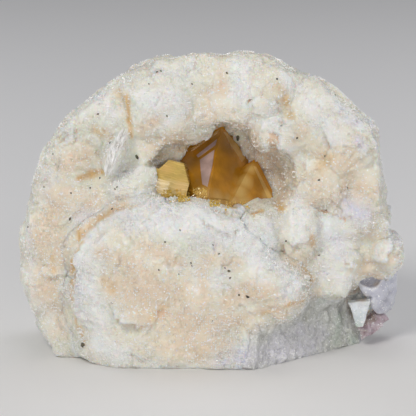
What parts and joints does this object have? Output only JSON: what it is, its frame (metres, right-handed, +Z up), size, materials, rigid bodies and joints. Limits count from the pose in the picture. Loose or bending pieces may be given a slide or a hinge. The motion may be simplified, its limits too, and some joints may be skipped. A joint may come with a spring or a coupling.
{
  "type": "powellite with apophyllite, mineral specimen",
  "caption": "Mineral specimen: an amber double-pyramid powellite in a pocket of sparkling white to peach stilbite, with pale apophyllite at the foot.",
  "frame": {"origin": "bottom centre of the specimen's bounding box, on the flat cut base", "axes": "+X along the specimen's broad side, to the right seen from the front; the pocket faces -Y; +Z up"},
  "size_m": [0.0808, 0.0394, 0.063],
  "materials": {
    "stilbite": "sparkling druse",
    "dome": "sparkling druse",
    "amber": "polished",
    "gold": "satin",
    "greenish": "vitreous",
    "snow": "vitreous",
    "pearl": "pearly",
    "pink": "vitreous"
  },
  "bodies": {
    "root": {"stilbite_matrix": "stilbite", "front_dome": "dome", "powellite_main": "amber", "powellite_left": "gold", "apophyllite_block": "greenish", "apophyllite_chip": "snow", "pearly_shell": "pearl", "pink_blades": "pink"}
  },
  "joints": []
}
